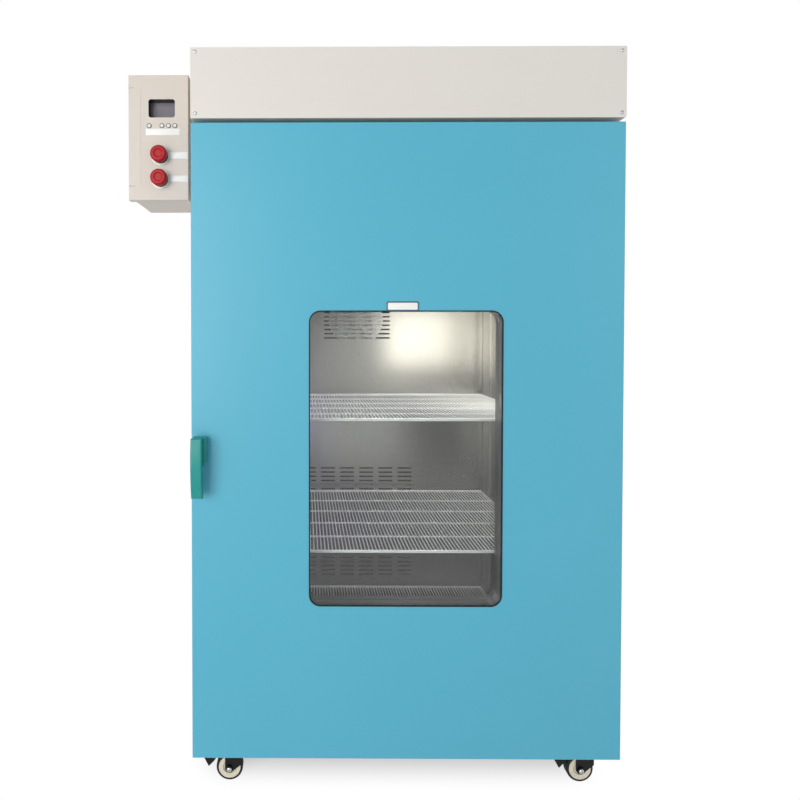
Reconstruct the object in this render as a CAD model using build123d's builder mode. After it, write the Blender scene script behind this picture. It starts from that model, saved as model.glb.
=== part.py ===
from build123d import *
import os

os.makedirs("parts", exist_ok=True)

# Drying oven on casters, in millimetres.
# The origin is on the floor, under the middle of the whole oven. +X is right, +Y is to the back, +Z is up.

# Cabinet
cabinet_width = 1000
cabinet_depth = 740
body_bottom = 88
sheet = 1.5
liner_sheet = 1.2
frame_tube = 30

# Door and header, from the floor up
door_bottom = 121
door_height = 1482
door_depth = 50
header_gap = 9
header_height = 162
seal_gap = 12
edge_radius = 3

# Chamber: the wool's thickness beside and behind it, and how far the door laps it below and above
side_wall = 120
back_wall = 60
door_lap_low = 57
door_lap_high = 55
air_space = 60
mouth_lip = 20

# Window in the door
window_width = 449
window_height = 689
window_rise = 360
window_shift = -2.5
window_radius = 27
window_seal_width = 3
window_seal_proud = 0.8
glass_thick = 4
glass_edge = 12
inner_glass_set_back = 33
reveal_sheet = 1.2

# Door inner tray and seal
tray_raise = 8
tray_margin = 10
gasket_width = 20
gasket_margin = 12

# Door hinges
hinge_offset = 10
hinge_radius = 8
hinge_pin = 10
hinge_knuckle = 45
hinge_leaf = 3
hinge_leaf_depth = 40
hinge_count = 3
hinge_first = 202
hinge_last = 140
knuckle_gap = 0.4

# Handle and latch
handle_inset = 22.5
handle_rise = 737
handle_base_width = 31
handle_base_height = 68
handle_base_depth = 30
handle_base_chamfer = 9
handle_base_drop = 3
lever_width = 26
lever_shift = 3.5
lever_top = 23
lever_length = 138
lever_thick = 19.5
lever_bow = 5
lever_gap = 0.5
lever_fillet = 4
spindle_diameter = 8
running_gap = 0.05
pawl_length = 34
pawl_height = 11
pawl_thick = 4
pawl_clearance = 3.5
keeper_sheet = 2
keeper_gap = 1
keeper_height = 22
keeper_hold = 14

# Wire shelves
shelf_count = 3
shelf_first = 62
shelf_pitch = 332
shelf_side_gap = 8
shelf_set_back = 48
shelf_back_gap = 12
shelf_wire = 3
shelf_wire_pitch = 10.5
shelf_rim = 5
shelf_rod = 5
shelf_spans = 5
shelf_seat_gap = 0.2

# Shelf uprights and runners
upright_width = 22
upright_depth = 4
upright_sheet = 1.5
upright_margin = 25
upright_inset = 60
runner_leg = 16
runner_ledge = 14
runner_sheet = 1.5

# Louvred air panel
air_panel_margin = 40
air_panel_step = 8
air_panel_foot = 6
slot_width = 48
slot_height = 5.5
slot_rise = 14.6
slot_centre_x = -56
top_slots = (4, 10, 59.5, 983)
middle_slots = (6, 6, 66.3, 430)
bottom_slots = (6, 5, 66.3, 125)

# Blower
fan_radius = 95
fan_depth = 34
fan_blades = 12
fan_blade_sheet = 2
fan_clearance = 9
shaft_diameter = 10
shaft_hole = 16
motor_radius = 55
motor_length = 72
motor_cover_width = 190
motor_cover_height = 190
motor_cover_depth = 60
motor_cover_slots = 5
motor_cover_slot = 6
motor_cover_slot_pitch = 16

# Heater, probe and gland
heater_rod = 8
heater_rows = 3
heater_pitch = 70
heater_bend = 22
heater_margin = 165
heater_rise = 235
terminal_size = 46
terminal_depth = 12
probe_diameter = 6
probe_length = 120
probe_drop = 255
probe_inset = 40
probe_collar = 20
gland_radius = 14
gland_bore = 6
gland_length = 28
gland_inset = 100
gland_rise = 165

# Exhaust stub and its cap
vent_side_inset = 320
vent_inset = 470
vent_radius = 27
vent_wall = 1.5
vent_flange = 150
vent_opening = 120
vent_height = 22
vent_hole = 7
vent_hole_circle = 15
vent_cap_thick = 2
vent_cap_gap = 0.3
vent_knob_radius = 6
vent_knob_height = 12
vent_pin = 6

# Control box on the left side
box_width = 145
box_gap = 18
box_height = 301
box_drop = 33.5
box_depth = 159
box_set_back = 70
cover_depth = 22
cover_overhang = 13
cover_gap = 0.5
spacer_low = 48
spacer_high = 34
spacer_inset = 22
box_hinge_height = 236
box_hinge_low = 34
box_hinge_radius = 4
box_hinge_pin = 4
box_hinge_knuckles = 5
box_hinge_leaf = 1.5
cover_slit = 1.2
cover_slit_length = 16
cover_crease = 30
cover_crease_width = 0.8
cover_crease_depth = 0.5
display_x = 80.5
display_z = 221
display_width = 64
display_height = 44
display_depth = 25
display_radius = 6
display_glass = 2
set_button_x = (50.5, 81.2, 97, 112.6)
set_button_z = 179
set_button_diameter = 8
set_button_proud = 2.2
set_button_gap = 0.2
set_button_travel = 1
push_x = 77
push_z = (50.5, 107)
push_head = 20
push_head_depth = 12
push_dish = 11
push_dish_depth = 2.5
push_stem = 11
push_stem_wall = 1
push_collar = 19
push_collar_depth = 9
push_travel = 5
push_block = 30
push_block_depth = 34
contactor_size = (60, 38, 80)
rail_width = 35
rail_sheet = 1.5

# Casters
caster_left_inset = 94
caster_right_inset = 34
caster_front_inset = 40
caster_rear_inset = 60
caster_plate = 60
caster_plate_sheet = 3
caster_bolt = 3.25
caster_bolt_inset = 8
race_radius = 21
race_height = 7
race_gap = 0.3
fork_head = 20
fork_head_height = 5
fork_sheet = 2.5
fork_inside = 25
fork_end_radius = 11
fork_drop = 30
kingpin = 8
caster_trail = 18
wheel_radius = 33
wheel_width = 22
hub_radius = 27
hub_dish = 16
hub_dish_depth = 3
axle_diameter = 8
axle_head = 8
axle_head_height = 4
pedal_width = 22
pedal_pin = 4
pedal_eye = 3.5
pedal_set_back = 5
pedal_neck = 4
pedal_plate = 2.5
pedal_outline = ((-66, 28), (-52, 2), (-39, 15), (-29, 29))

# How far a cut runs past the face that it goes through
past = 1

# Sizes of the whole oven, and the two planes that all else is placed from
roof = door_bottom + door_height + header_gap + header_height
chamber_width = cabinet_width - 2 * side_wall
chamber_depth = cabinet_depth - air_space - back_wall
chamber_height = door_height - door_lap_low - door_lap_high
chamber_floor = door_bottom + door_lap_low
left_reach = box_gap + box_width
right_reach = hinge_offset + hinge_radius
front_reach = handle_base_depth + lever_gap + lever_thick
back_reach = door_depth + seal_gap + cabinet_depth + motor_cover_depth
mid_x = (left_reach - right_reach) / 2
door_y = (front_reach - back_reach) / 2
face_y = door_y + door_depth + seal_gap
back_y = face_y + cabinet_depth

# Places that several pieces share
chamber_top = chamber_floor + chamber_height
panel_y = face_y + chamber_depth
liner_back = panel_y + air_space
window_x = mid_x + window_shift
window_z = door_bottom + window_rise + window_height / 2
inner_half = cabinet_width / 2 - sheet
shelf_front = face_y + shelf_set_back
shelf_width = chamber_width - 2 * shelf_side_gap
shelf_depth = chamber_depth - shelf_set_back - shelf_back_gap
stub_x = mid_x + cabinet_width / 2 - vent_side_inset
stub_y = face_y + vent_inset
fan_x = slot_centre_x
fan_z = chamber_floor + top_slots[3]
gland_x = gland_inset - cabinet_width / 2
gland_z = body_bottom + gland_rise
handle_z = door_bottom + handle_rise


def slab(x, y, z, mode=Mode.ADD):
    """A block between two values on each axis, in the part that is being built."""
    middle = [(low + high) / 2 for low, high in (x, y, z)]
    with Locations(tuple(middle)):
        Box(x[1] - x[0], y[1] - y[0], z[1] - z[0], mode=mode)


def rod_y(x, z, y, radius, mode=Mode.ADD):
    """A round bar along Y between two values of y."""
    with Locations(Location((x, (y[0] + y[1]) / 2, z), (90, 0, 0))):
        Cylinder(radius, y[1] - y[0], mode=mode)


def rod_z(x, y, z, radius, mode=Mode.ADD):
    """A round bar along Z between two values of z."""
    with Locations((x, y, (z[0] + z[1]) / 2)):
        Cylinder(radius, z[1] - z[0], mode=mode)


def around_stub(width, z, mode=Mode.ADD):
    """Make or cut a square slab round the exhaust stub."""
    half = width / 2
    slab((stub_x - half, stub_x + half), (stub_y - half, stub_y + half), z, mode)


def front_plane(y):
    """A sketch plane at y that looks at the oven from the front, so that extruding goes to the back."""
    return Plane(origin=(0, y, 0), x_dir=(1, 0, 0), z_dir=(0, -1, 0))


def save(part, name):
    part.label = name
    export_step(part, "parts/" + name + ".step")


# Outer wrap: one bent sheet makes both sides and the roof, with a square opening for the exhaust
with BuildPart() as outer_wrap:
    with BuildSketch(front_plane(face_y)):
        with Locations((mid_x, (body_bottom + roof) / 2)):
            Rectangle(cabinet_width, roof - body_bottom)
        with Locations((mid_x, (body_bottom + roof - sheet) / 2)):
            Rectangle(cabinet_width - 2 * sheet, roof - body_bottom - sheet, mode=Mode.SUBTRACT)
    extrude(amount=-cabinet_depth)
    around_stub(vent_opening, (roof - 2 * sheet, roof + sheet), Mode.SUBTRACT)
save(outer_wrap.part, "outer_wrap")

# Base frame: square tubes round the underside, doubled at the front and back where they carry the casters,
# with the bottom sheet welded on inside them
base_front = face_y + sheet
base_back = back_y - sheet
base_top = body_bottom + frame_tube
with BuildPart() as base_frame:
    slab((mid_x - inner_half, mid_x + inner_half), (base_front, base_back), (body_bottom, base_top))
    slab(
        (mid_x - inner_half + frame_tube, mid_x + inner_half - frame_tube),
        (base_front + 2 * frame_tube, base_back - 2 * frame_tube),
        (body_bottom - past, base_top - sheet),
        Mode.SUBTRACT,
    )
save(base_frame.part, "base_frame")

# Front frame: the face sheet with the chamber mouth, and the lip that turns back round the mouth
liner_half = chamber_width / 2 + liner_sheet
with BuildPart() as front_frame:
    slab(
        (mid_x - inner_half, mid_x + inner_half),
        (face_y, face_y + sheet),
        (body_bottom, roof - sheet),
    )
    slab(
        (mid_x - liner_half - sheet, mid_x + liner_half + sheet),
        (face_y, face_y + mouth_lip),
        (chamber_floor - liner_sheet - sheet, chamber_top + liner_sheet + sheet),
    )
    slab(
        (mid_x - liner_half, mid_x + liner_half),
        (face_y - sheet, face_y + mouth_lip + sheet),
        (chamber_floor - liner_sheet, chamber_top + liner_sheet),
        Mode.SUBTRACT,
    )
save(front_frame.part, "front_frame")

# Chamber liner: a stainless box, open at the front
with BuildPart() as chamber_liner:
    slab(
        (mid_x - liner_half, mid_x + liner_half),
        (face_y, liner_back + liner_sheet),
        (chamber_floor - liner_sheet, chamber_top + liner_sheet),
    )
    slab(
        (mid_x - chamber_width / 2, mid_x + chamber_width / 2),
        (face_y - sheet, liner_back),
        (chamber_floor, chamber_top),
        Mode.SUBTRACT,
    )
    rod_y(mid_x + fan_x, fan_z, (liner_back - sheet, liner_back + 2 * sheet), shaft_hole / 2, Mode.SUBTRACT)
    around_stub(vent_opening, (chamber_top - sheet, chamber_top + 2 * sheet), Mode.SUBTRACT)
save(chamber_liner.part, "chamber_liner")

# Mineral wool between the liner and the outer sheets
wool_back = back_y - sheet
with BuildPart() as cabinet_wool:
    slab(
        (mid_x - inner_half, mid_x + inner_half),
        (face_y + mouth_lip, wool_back),
        (base_top, roof - sheet),
    )
    slab(
        (mid_x - liner_half, mid_x + liner_half),
        (face_y, liner_back + liner_sheet),
        (chamber_floor - liner_sheet, chamber_top + liner_sheet),
        Mode.SUBTRACT,
    )
    rod_y(mid_x + fan_x, fan_z, (liner_back, back_y), motor_radius, Mode.SUBTRACT)
    rod_z(stub_x, stub_y, (chamber_top, roof), vent_radius, Mode.SUBTRACT)
    for flange_z in (chamber_top + liner_sheet, roof - 2 * sheet):
        around_stub(vent_flange, (flange_z, flange_z + sheet), Mode.SUBTRACT)
    rod_y(mid_x + gland_x, gland_z, (wool_back - gland_length, back_y), gland_radius, Mode.SUBTRACT)
save(cabinet_wool.part, "cabinet_wool")

# Back panel, with the motor opening and the gland hole
with BuildPart() as back_panel:
    slab(
        (mid_x - inner_half, mid_x + inner_half),
        (back_y - sheet, back_y),
        (base_top, roof - sheet),
    )
    rod_y(mid_x + fan_x, fan_z, (back_y - 2 * sheet, back_y + sheet), motor_radius, Mode.SUBTRACT)
    rod_y(mid_x + gland_x, gland_z, (back_y - 2 * sheet, back_y + sheet), gland_radius - sheet, Mode.SUBTRACT)
save(back_panel.part, "back_panel")

# Header: a shallow pan above the door, its front level with the door's front
with BuildPart() as header_panel:
    slab(
        (mid_x - cabinet_width / 2, mid_x + cabinet_width / 2),
        (door_y, face_y),
        (roof - header_height, roof),
    )
    fillet(header_panel.edges().filter_by(Axis.Y), radius=edge_radius)
    slab(
        (mid_x - inner_half, mid_x + inner_half),
        (door_y + sheet, face_y + sheet),
        (roof - header_height + sheet, roof - sheet),
        Mode.SUBTRACT,
    )
save(header_panel.part, "header_panel")


def window_outline(margin):
    """The window's rounded rectangle, larger all round by the margin."""
    with Locations((window_x, window_z)):
        RectangleRounded(
            window_width + 2 * margin,
            window_height + 2 * margin,
            window_radius + margin,
        )


def cut_window(y, margin):
    """Cut the window's outline through what is being built, between two values of y."""
    with BuildSketch(front_plane(y[0])) as outline:
        window_outline(margin)
    extrude(outline.sketch, amount=-(y[1] - y[0]), mode=Mode.SUBTRACT)


spindle_x = mid_x - cabinet_width / 2 + handle_inset
spindle_bore = spindle_diameter / 2 + running_gap

# Door outer skin: a painted pan with the window cut out
with BuildPart() as door_skin:
    slab(
        (mid_x - cabinet_width / 2, mid_x + cabinet_width / 2),
        (door_y, door_y + door_depth),
        (door_bottom, door_bottom + door_height),
    )
    fillet(door_skin.faces().sort_by(Axis.Y)[0].edges(), radius=edge_radius)
    slab(
        (mid_x - inner_half, mid_x + inner_half),
        (door_y + sheet, door_y + door_depth + sheet),
        (door_bottom + sheet, door_bottom + door_height - sheet),
        Mode.SUBTRACT,
    )
    cut_window((door_y - sheet, door_y + 2 * sheet), 0)
    rod_y(spindle_x, handle_z, (door_y - sheet, door_y + 2 * sheet), spindle_bore, Mode.SUBTRACT)
save(door_skin.part, "door_skin")

# Door inner panel: a stainless sheet with a raised tray inside the seal
tray_half = chamber_width / 2 - tray_margin
tray_low = chamber_floor + tray_margin
tray_high = chamber_top - tray_margin
inner_y = door_y + door_depth
with BuildPart() as door_inner:
    slab(
        (mid_x - inner_half, mid_x + inner_half),
        (inner_y - sheet, inner_y),
        (door_bottom + sheet, door_bottom + door_height - sheet),
    )
    slab(
        (mid_x - tray_half, mid_x + tray_half),
        (inner_y - sheet, inner_y + tray_raise),
        (tray_low, tray_high),
    )
    slab(
        (mid_x - tray_half + sheet, mid_x + tray_half - sheet),
        (inner_y - 2 * sheet, inner_y + tray_raise - sheet),
        (tray_low + sheet, tray_high - sheet),
        Mode.SUBTRACT,
    )
    cut_window((inner_y - 2 * sheet, inner_y + tray_raise + sheet), 0)
    rod_y(spindle_x, handle_z, (inner_y - 2 * sheet, inner_y + sheet), spindle_bore, Mode.SUBTRACT)
save(door_inner.part, "door_inner")

# Door wool, round the window
with BuildPart() as door_wool:
    slab(
        (mid_x - inner_half, mid_x + inner_half),
        (door_y + sheet, inner_y - sheet),
        (door_bottom + sheet, door_bottom + door_height - sheet),
    )
    cut_window((door_y, inner_y), glass_edge)
    rod_y(spindle_x, handle_z, (door_y, inner_y), spindle_diameter, Mode.SUBTRACT)
save(door_wool.part, "door_wool")

# Window: outer pane behind the skin, reveal frame, inner pane and the dark edge seal
outer_pane_y = door_y + sheet
with BuildPart() as window_outer_glass:
    with BuildSketch(front_plane(outer_pane_y)):
        window_outline(glass_edge)
    extrude(amount=-glass_thick)
save(window_outer_glass.part, "window_outer_glass")

reveal_front = outer_pane_y + glass_thick
reveal_back = inner_y + tray_raise - sheet
with BuildPart() as window_reveal:
    with BuildSketch(front_plane(reveal_front)):
        window_outline(reveal_sheet)
    extrude(amount=-(reveal_back - reveal_front))
    cut_window((reveal_front - sheet, reveal_back + sheet), 0)
save(window_reveal.part, "window_reveal")

with BuildPart() as window_inner_glass:
    with BuildSketch(front_plane(door_y + inner_glass_set_back)):
        window_outline(0)
    extrude(amount=-glass_thick)
save(window_inner_glass.part, "window_inner_glass")

with BuildPart() as window_seal:
    with BuildSketch(front_plane(door_y - window_seal_proud)):
        window_outline(0)
    extrude(amount=-(window_seal_proud + sheet))
    cut_window((door_y - 2 * window_seal_proud, door_y + 2 * sheet), -window_seal_width)
save(window_seal.part, "window_seal")

# Door seal: a silicone ring between the door and the front frame
seal_half = chamber_width / 2 + gasket_margin
seal_low = chamber_floor - gasket_margin
seal_high = chamber_top + gasket_margin
with BuildPart() as door_gasket:
    slab(
        (mid_x - seal_half - gasket_width, mid_x + seal_half + gasket_width),
        (inner_y, face_y),
        (seal_low - gasket_width, seal_high + gasket_width),
    )
    slab((mid_x - seal_half, mid_x + seal_half), (door_y, back_y), (seal_low, seal_high), Mode.SUBTRACT)
save(door_gasket.part, "door_gasket")

# Door hinges: lift-off hinges outside the right side, a lower knuckle with its pin and an upper knuckle
hinge_x = mid_x + cabinet_width / 2 + hinge_offset
hinge_y = (inner_y + face_y) / 2
side_x = mid_x + cabinet_width / 2
hinge_pitch = (door_height - hinge_first - hinge_last) / (hinge_count - 1)
hinge_heights = [door_bottom + hinge_first + index * hinge_pitch for index in range(hinge_count)]


def hinge_half(z, y):
    """A knuckle over a height z, and its leaf on the right side, between two values of y."""
    rod_z(hinge_x, hinge_y, z, hinge_radius)
    slab((side_x, side_x + hinge_leaf), y, z)
    slab((side_x, hinge_x), (hinge_y - hinge_leaf / 2, hinge_y + hinge_leaf / 2), z)


with BuildPart() as hinge_frame_leaves:
    for height in hinge_heights:
        hinge_half((height, height + hinge_knuckle), (hinge_y - hinge_leaf / 2, face_y + hinge_leaf_depth))
        pin_top = height + 2 * hinge_knuckle - hinge_pin / 2
        rod_z(hinge_x, hinge_y, (height, pin_top), hinge_pin / 2)
save(hinge_frame_leaves.part, "hinge_frame_leaves")

with BuildPart() as hinge_door_leaves:
    for height in hinge_heights:
        low = height + hinge_knuckle + knuckle_gap
        high = height + 2 * hinge_knuckle
        hinge_half((low, high), (inner_y - hinge_leaf_depth, hinge_y + hinge_leaf / 2))
        rod_z(hinge_x, hinge_y, (low - past, high - knuckle_gap), hinge_pin / 2 + running_gap, Mode.SUBTRACT)
save(hinge_door_leaves.part, "hinge_door_leaves")

# Handle base: a moulded block with a slanted lower right corner
base_left = spindle_x - handle_base_width / 2
lever_high = handle_z + lever_top
base_high = lever_high - handle_base_drop
base_low = base_high - handle_base_height
with BuildPart() as handle_base:
    slab(
        (base_left, base_left + handle_base_width),
        (door_y - handle_base_depth, door_y),
        (base_low, base_high),
    )
    lower_right = handle_base.edges().filter_by(Axis.Y).group_by(Axis.Z)[0].sort_by(Axis.X)[-1]
    chamfer(lower_right, length=handle_base_chamfer)
    fillet(handle_base.faces().sort_by(Axis.Y)[0].edges(), radius=lever_fillet / 2)
    rod_y(spindle_x, handle_z, (door_y - 2 * handle_base_depth, door_y + past), spindle_bore, Mode.SUBTRACT)
save(handle_base.part, "handle_base")

# Handle lever: a bowed grip that hangs from the spindle and comes closer to the door at its free end
lever_back = door_y - handle_base_depth - lever_gap
lever_front = lever_back - lever_thick
lever_low = lever_high - lever_length
lever_step = base_low - lever_fillet
lever_left = spindle_x - lever_shift - lever_width / 2
with BuildPart() as handle_lever:
    with BuildSketch(Plane(origin=(lever_left, 0, 0), x_dir=(0, 1, 0), z_dir=(1, 0, 0))):
        with BuildLine():
            Line((lever_back, lever_high), (lever_front + lever_bow, lever_high))
            ThreePointArc(
                (lever_front + lever_bow, lever_high),
                (lever_front, handle_z - lever_top),
                (lever_front + 2 * lever_bow, lever_low),
            )
            Line((lever_front + 2 * lever_bow, lever_low), (lever_back + lever_bow, lever_low))
            Line((lever_back + lever_bow, lever_low), (lever_back + lever_bow, lever_step - lever_bow))
            Line((lever_back + lever_bow, lever_step - lever_bow), (lever_back, lever_step))
            Line((lever_back, lever_step), (lever_back, lever_high))
        make_face()
    extrude(amount=lever_width)
    long_edges = handle_lever.faces().sort_by(Axis.Y)[0].edges()
    fillet(long_edges, radius=lever_fillet)
    rod_y(
        spindle_x,
        handle_z,
        (lever_back - lever_thick / 2, lever_back + past),
        spindle_diameter / 2,
        Mode.SUBTRACT,
    )
save(handle_lever.part, "handle_lever")

# Latch spindle with its pawl, which hangs beside the lever and turns up behind the keeper
pawl_y = inner_y + pawl_clearance
with BuildPart() as latch_spindle:
    rod_y(spindle_x, handle_z, (lever_back - lever_thick / 2, pawl_y + pawl_thick), spindle_diameter / 2)
    slab(
        (spindle_x - pawl_height / 2, spindle_x + pawl_height / 2),
        (pawl_y, pawl_y + pawl_thick),
        (handle_z - pawl_length, handle_z + pawl_height / 2),
    )
save(latch_spindle.part, "latch_spindle")

# Keeper: a bent steel hook on the front frame, open to the left and below
keeper_right = spindle_x + pawl_length + 2 * keeper_gap + keeper_sheet
keeper_left = keeper_right - keeper_hold
keeper_low = handle_z - keeper_height / 2
keeper_high = handle_z + keeper_height / 2
lip_y = pawl_y - keeper_gap
with BuildPart() as latch_keeper:
    slab((keeper_left, keeper_right), (lip_y - keeper_sheet / 2, lip_y), (keeper_low, keeper_high))
    slab(
        (keeper_right - keeper_sheet, keeper_right),
        (lip_y - keeper_sheet / 2, face_y),
        (keeper_low, keeper_high),
    )
    slab(
        (keeper_left, keeper_right + keeper_hold),
        (face_y - keeper_sheet, face_y),
        (keeper_low, keeper_high),
    )
save(latch_keeper.part, "latch_keeper")

# Wire shelves: wires along the depth in a rim, resting on heavier cross rods
rim_inside_x = shelf_width - 2 * shelf_rim
rim_inside_y = shelf_depth - 2 * shelf_rim
gap_count = round(rim_inside_x / shelf_wire_pitch)
gap_pitch = (rim_inside_x + shelf_wire) / gap_count
shelf_y = shelf_front + shelf_depth / 2
shelf_names = ("shelf_bottom", "shelf_middle", "shelf_top")
shelf_tops = [chamber_floor + shelf_first + index * shelf_pitch for index in range(shelf_count)]
for shelf_name, top in zip(shelf_names, shelf_tops):
    with BuildPart() as wire_shelf:
        with BuildSketch(Plane.XY.offset(top - shelf_wire)):
            with Locations((mid_x, shelf_y)):
                Rectangle(shelf_width, shelf_depth)
                with GridLocations(gap_pitch, 0, gap_count, 1):
                    Rectangle(gap_pitch - shelf_wire, rim_inside_y, mode=Mode.SUBTRACT)
        extrude(amount=shelf_wire)
    rods = []
    for span in range(shelf_spans + 1):
        rod_place = shelf_front + shelf_rod / 2 + span * (shelf_depth - shelf_rod) / shelf_spans
        with BuildPart() as cross_rod:
            slab(
                (mid_x - shelf_width / 2, mid_x + shelf_width / 2),
                (rod_place - shelf_rod / 2, rod_place + shelf_rod / 2),
                (top - shelf_wire - shelf_rod, top - shelf_wire),
            )
        rods.append(cross_rod.part)
    save(Compound(children=[wire_shelf.part] + rods), shelf_name)

# Shelf rack: two channel uprights on each wall, and an angle runner on each side of every shelf
wall_half = chamber_width / 2
upright_rows = (face_y + upright_inset + upright_width, shelf_front + shelf_depth - upright_inset)
rack = []
for side in (-1, 1):
    wall_x = mid_x + side * wall_half
    for row in upright_rows:
        with BuildPart() as upright:
            with BuildSketch(Plane.XY.offset(chamber_floor + upright_margin)):
                with Locations((wall_x - side * upright_depth / 2, row)):
                    Rectangle(upright_depth, upright_width)
                with Locations((wall_x - side * (upright_depth - upright_sheet) / 2, row)):
                    Rectangle(
                        upright_depth - upright_sheet,
                        upright_width - 2 * upright_sheet,
                        mode=Mode.SUBTRACT,
                    )
            extrude(amount=chamber_height - 2 * upright_margin)
        rack.append(upright.part)
    for top in shelf_tops:
        leg_x = wall_x - side * upright_depth
        ledge_z = top - shelf_wire - shelf_rod - shelf_seat_gap
        ends = sorted((leg_x, leg_x - side * runner_sheet))
        ledge = sorted((leg_x, leg_x - side * runner_ledge))
        with BuildPart() as runner:
            slab(
                ends,
                (shelf_front, shelf_front + shelf_depth),
                (ledge_z - runner_sheet, ledge_z + runner_leg),
            )
            slab(ledge, (shelf_front, shelf_front + shelf_depth), (ledge_z - runner_sheet, ledge_z))
        rack.append(runner.part)
save(Compound(children=rack), "shelf_rack")

# Air panel: a stainless hat-shaped sheet in front of the air space, with three groups of slots
panel_half = wall_half - air_panel_margin
panel_z = (chamber_floor + air_panel_foot, chamber_top)
with BuildPart() as air_panel:
    slab((mid_x - panel_half, mid_x + panel_half), (panel_y, panel_y + liner_sheet), panel_z)
    for side in (-1, 1):
        web = sorted((mid_x + side * panel_half, mid_x + side * (panel_half - liner_sheet)))
        flange = sorted((mid_x + side * (panel_half - liner_sheet), mid_x + side * wall_half))
        slab(web, (panel_y, panel_y + air_panel_step), panel_z)
        slab(flange, (panel_y + air_panel_step - liner_sheet, panel_y + air_panel_step), panel_z)
    with BuildSketch(front_plane(panel_y - sheet)):
        for columns, rows, spacing, height in (top_slots, middle_slots, bottom_slots):
            with Locations((mid_x + slot_centre_x, chamber_floor + height)):
                with GridLocations(spacing, slot_rise, columns, rows):
                    Rectangle(slot_width, slot_height)
    extrude(amount=-2 * sheet - liner_sheet, mode=Mode.SUBTRACT)
save(air_panel.part, "air_panel")

# Blower: motor behind the liner, shaft through the wall, radial fan wheel in the air space
motor_front = liner_back + liner_sheet
shaft_x = mid_x + fan_x
fan_front = panel_y + liner_sheet + fan_clearance
with BuildPart() as blower_motor:
    rod_y(shaft_x, fan_z, (motor_front, motor_front + motor_length), motor_radius - sheet)
    fillet(blower_motor.faces().sort_by(Axis.Y)[-1].edges(), radius=3 * edge_radius)
    rod_y(
        shaft_x,
        fan_z,
        (motor_front - past, motor_front + motor_length / 2),
        shaft_diameter / 2 + running_gap,
        Mode.SUBTRACT,
    )
save(blower_motor.part, "blower_motor")

with BuildPart() as fan_wheel:
    rod_y(shaft_x, fan_z, (fan_front + fan_depth - fan_blade_sheet, fan_front + fan_depth), fan_radius)
    rod_y(shaft_x, fan_z, (fan_front + fan_depth / 3, fan_front + fan_depth), 2 * shaft_diameter)
    with BuildSketch(front_plane(fan_front)):
        with Locations((shaft_x, fan_z)):
            with PolarLocations((fan_radius + 2 * shaft_diameter) / 2, fan_blades):
                Rectangle(fan_radius - 2 * shaft_diameter, fan_blade_sheet)
    extrude(amount=-fan_depth)
    rod_y(
        shaft_x,
        fan_z,
        (fan_front + fan_depth / 2, motor_front + motor_length / 2 - past),
        shaft_diameter / 2,
    )
save(fan_wheel.part, "fan_wheel")

# Motor cover on the back, a pan with cooling slots in its back face
cover_slot_height = motor_cover_height / 2
with BuildPart() as motor_cover:
    slab(
        (shaft_x - motor_cover_width / 2, shaft_x + motor_cover_width / 2),
        (back_y, back_y + motor_cover_depth),
        (fan_z - motor_cover_height / 2, fan_z + motor_cover_height / 2),
    )
    fillet(motor_cover.faces().sort_by(Axis.Y)[-1].edges(), radius=edge_radius)
    slab(
        (shaft_x - motor_cover_width / 2 + sheet, shaft_x + motor_cover_width / 2 - sheet),
        (back_y - sheet, back_y + motor_cover_depth - sheet),
        (fan_z - motor_cover_height / 2 + sheet, fan_z + motor_cover_height / 2 - sheet),
        Mode.SUBTRACT,
    )
    with BuildSketch(front_plane(back_y + motor_cover_depth - 2 * sheet)):
        with Locations((shaft_x, fan_z)):
            with GridLocations(motor_cover_slot_pitch, 0, motor_cover_slots, 1):
                Rectangle(motor_cover_slot, cover_slot_height)
    extrude(amount=-3 * sheet, mode=Mode.SUBTRACT)
save(motor_cover.part, "motor_cover")

# Heater: hairpin tubes in the air space, held by a terminal block on the liner's back wall
heater_y = (panel_y + air_panel_step + liner_back) / 2
heater_leg = chamber_width - 2 * heater_margin
heater_low = chamber_floor + heater_rise
block_x = mid_x - heater_leg / 2 - terminal_size
block_low = heater_low - heater_bend - terminal_size / 2
block_high = heater_low + (heater_rows - 1) * heater_pitch + heater_bend + terminal_size / 2
heaters = []
with BuildPart() as terminal_block:
    slab(
        (block_x, block_x + terminal_size),
        (heater_y - terminal_depth, liner_back),
        (block_low, block_high),
    )
heaters.append(terminal_block.part)
for row in range(heater_rows):
    height = heater_low + row * heater_pitch
    start = block_x + terminal_size
    end = start + heater_leg
    with BuildPart() as hairpin:
        with BuildLine(front_plane(heater_y)):
            Line((start, height - heater_bend), (end, height - heater_bend))
            ThreePointArc(
                (end, height - heater_bend),
                (end + heater_bend, height),
                (end, height + heater_bend),
            )
            Line((end, height + heater_bend), (start, height + heater_bend))
        with BuildSketch(Plane(origin=(start, heater_y, height - heater_bend), z_dir=(1, 0, 0))):
            Circle(heater_rod / 2)
        sweep()
    heaters.append(hairpin.part)
save(Compound(children=heaters), "heater_tubes")

# Temperature probe through the left wall, with its collar
probe_y = panel_y - probe_inset
probe_z = chamber_top - probe_drop
with BuildPart() as temperature_probe:
    wall_x = mid_x - wall_half
    with Locations(Location((wall_x + probe_length / 2, probe_y, probe_z), (0, 90, 0))):
        Cylinder(probe_diameter / 2, probe_length)
    with Locations(Location((wall_x + probe_diameter / 2, probe_y, probe_z), (0, 90, 0))):
        Cylinder(probe_collar / 2, probe_diameter)
    fillet(temperature_probe.faces().sort_by(Axis.X)[-1].edges(), radius=0.9 * probe_diameter / 2)
save(temperature_probe.part, "temperature_probe")

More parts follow.
